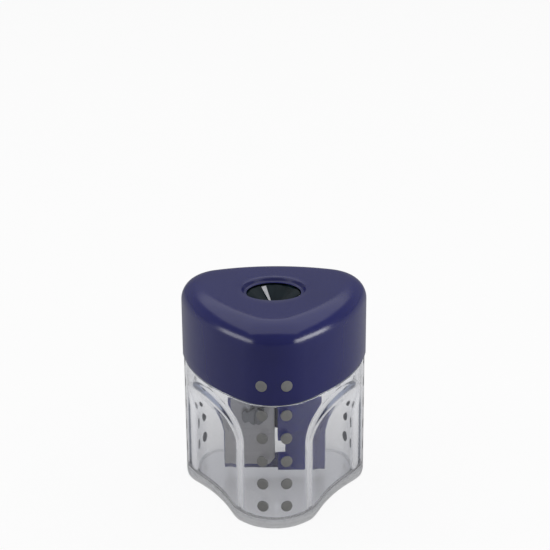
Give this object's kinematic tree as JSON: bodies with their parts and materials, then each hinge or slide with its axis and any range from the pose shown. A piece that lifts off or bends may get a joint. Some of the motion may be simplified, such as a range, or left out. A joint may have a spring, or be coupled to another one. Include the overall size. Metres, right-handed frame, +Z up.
{
  "type": "pencil sharpener",
  "caption": "Hand-held pencil sharpener with a rounded-triangular clear shavings container, lift-off cap, self-closing pencil hole, blade insert and rubber grip dots.",
  "frame": {"origin": "centre of the base, on the axis of the pencil hole", "axes": "+Z up along the pencil hole; -Y through the front corner; the blade lies on the -X side of the insert's front"},
  "size_m": [0.0422, 0.041, 0.0479],
  "materials": {
    "clear_plastic": "clear gloss",
    "blue_plastic": "satin, slate blue",
    "blade_steel": "ground",
    "screw_steel": "plated",
    "guard_plastic": "satin, near black",
    "seal_plastic": "satin, light grey",
    "grip_rubber": "matt grey"
  },
  "bodies": {
    "container": {"container": "clear_plastic", "container_dots_front_left": "grip_rubber", "container_dots_front_right": "grip_rubber", "container_dots_right_front": "grip_rubber", "container_dots_right_back": "grip_rubber", "container_dots_left_back": "grip_rubber", "container_dots_left_front": "grip_rubber"},
    "cap": {"cap_shell": "blue_plastic", "sharpener_insert": "blue_plastic", "blade": "blade_steel", "blade_screw": "screw_steel", "guard_ring": "guard_plastic", "cap_dot_front_left": "grip_rubber", "cap_dot_front_right": "grip_rubber", "cap_dot_right_front": "grip_rubber", "cap_dot_right_back": "grip_rubber", "cap_dot_left_back": "grip_rubber", "cap_dot_left_front": "grip_rubber"},
    "leaf_1": {"guard_leaf_1": "guard_plastic", "leaf_seal_1": "seal_plastic"},
    "leaf_2": {"guard_leaf_2": "guard_plastic", "leaf_seal_2": "seal_plastic"},
    "leaf_3": {"guard_leaf_3": "guard_plastic", "leaf_seal_3": "seal_plastic"}
  },
  "joints": [
    {"name": "cap_pull", "type": "slide", "parent": "container", "child": "cap", "axis": [0, 0, 1], "range_m": [0, 0.036]},
    {"name": "leaf_1_fold", "type": "hinge", "parent": "cap", "child": "leaf_1", "pos_m": [0.00388, 0.00534, 0.04645], "axis": [0.809, -0.5878, 0], "range_deg": [0, 40], "stiffness_Nm_per_rad": 0.00005},
    {"name": "leaf_2_fold", "type": "hinge", "parent": "cap", "child": "leaf_2", "pos_m": [-0.00656, 0.00069, 0.04645], "axis": [0.1045, 0.9945, 0], "range_deg": [0, 40], "stiffness_Nm_per_rad": 0.00005},
    {"name": "leaf_3_fold", "type": "hinge", "parent": "cap", "child": "leaf_3", "pos_m": [0.00268, -0.00603, 0.04645], "axis": [-0.9135, -0.4067, 0], "range_deg": [0, 40], "stiffness_Nm_per_rad": 0.00005}
  ],
  "couplings": [
    {"joint": "leaf_2_fold", "follows": "leaf_1_fold", "ratio": 1},
    {"joint": "leaf_3_fold", "follows": "leaf_1_fold", "ratio": 1}
  ]
}
